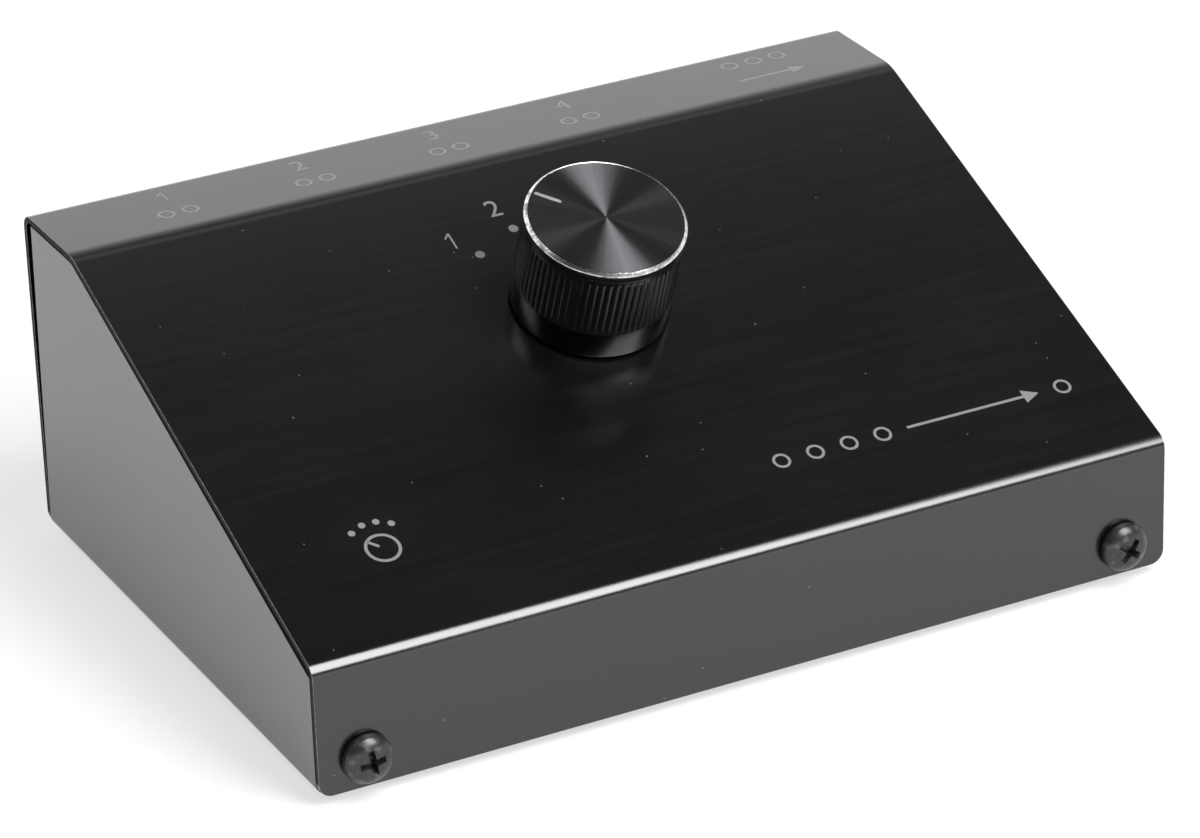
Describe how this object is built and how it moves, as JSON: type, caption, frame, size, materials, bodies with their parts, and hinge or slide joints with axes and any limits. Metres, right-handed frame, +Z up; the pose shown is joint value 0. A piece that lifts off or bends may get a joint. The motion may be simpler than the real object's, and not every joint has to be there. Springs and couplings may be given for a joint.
{
  "type": "audio source selector switch",
  "caption": "Desk-top rotary selector box: bent black steel case with a sloping panel, one knurled knob with click positions, and a row of twin phono sockets at the rear.",
  "frame": {"origin": "middle of the whole object in X and Y, at the underside of the four rubber feet", "axes": "+X to the right along the front edge, +Y from the front to the sockets at the rear, +Z up"},
  "size_m": [0.128, 0.102, 0.0572],
  "materials": {
    "black_paint": "satin black stoved enamel on steel sheet, faintly banded along the length",
    "black_paint_side": "satin black stoved enamel on steel sheet",
    "black_screw": "black oxide steel, polished dome",
    "rubber_foot": "matt black",
    "jack_plastic": "fine moulded texture",
    "nickel": "bright nickel plate",
    "white_insulator": "glossy moulding",
    "red_insulator": "glossy moulding",
    "tinned_brass": "tin plated",
    "circuit_board": "green solder mask on glass epoxy",
    "header_plastic": "moulded nylon",
    "grey_ribbon": "ribbed grey PVC",
    "zinc_steel": "bright zinc plate",
    "switch_plastic": "moulded",
    "phenolic": "brown phenolic paper board",
    "aluminium_shaft": "turned",
    "spring_steel": "bright",
    "phosphor_bronze": "rolled strip",
    "knob_black": "black anodised, spun top, diamond-cut bright rim, fluted grip",
    "knob_plastic": "moulded",
    "white_mark": "white filling paint"
  },
  "bodies": {
    "case": {"base": "black_paint_side", "bushing": "zinc_steel", "case_screws_front": "black_screw", "case_screws_rear": "black_screw", "common_terminals": "tinned_brass", "cover": "black_paint", "flat_washer": "zinc_steel", "foot_front_left": "rubber_foot", "foot_front_right": "rubber_foot", "foot_rear_left": "rubber_foot", "foot_rear_right": "rubber_foot", "frame_plate": "zinc_steel", "jack_block_1": "jack_plastic", "jack_block_2": "jack_plastic", "jack_block_3": "jack_plastic", "jack_block_4": "jack_plastic", "jack_block_output": "jack_plastic", "jack_board": "circuit_board", "jack_contacts_1": "tinned_brass", "jack_contacts_2": "tinned_brass", "jack_contacts_3": "tinned_brass", "jack_contacts_4": "tinned_brass", "jack_contacts_output": "tinned_brass", "jack_header": "header_plastic", "jack_screws": "black_screw", "jack_shells_1": "nickel", "jack_shells_2": "nickel", "jack_shells_3": "nickel", "jack_shells_4": "nickel", "jack_shells_output": "nickel", "left_core_1": "white_insulator", "left_core_2": "white_insulator", "left_core_3": "white_insulator", "left_core_4": "white_insulator", "left_core_output": "white_insulator", "lock_washer": "zinc_steel", "mount_nut": "zinc_steel", "ribbon_cable": "grey_ribbon", "right_core_1": "red_insulator", "right_core_2": "red_insulator", "right_core_3": "red_insulator", "right_core_4": "red_insulator", "right_core_output": "red_insulator", "stator_wafer": "phenolic", "switch_board": "circuit_board", "switch_header": "header_plastic", "switch_housing": "switch_plastic", "switch_rivets": "zinc_steel", "throw_terminals": "tinned_brass"},
    "selector": {"shaft": "aluminium_shaft", "retaining_clip": "spring_steel", "rotor": "switch_plastic", "wipers": "phosphor_bronze", "detent_ball": "spring_steel", "detent_spring": "spring_steel", "knob_shell": "knob_black", "knob_core": "knob_plastic", "knob_pointer": "white_mark", "knob_grub_screw": "black_screw"}
  },
  "joints": [
    {"name": "selector_turn", "type": "hinge", "parent": "case", "child": "selector", "pos_m": [0, -0.003, 0.0383], "axis": [0, 0.3714, -0.9285], "range_deg": [0, 90]}
  ]
}
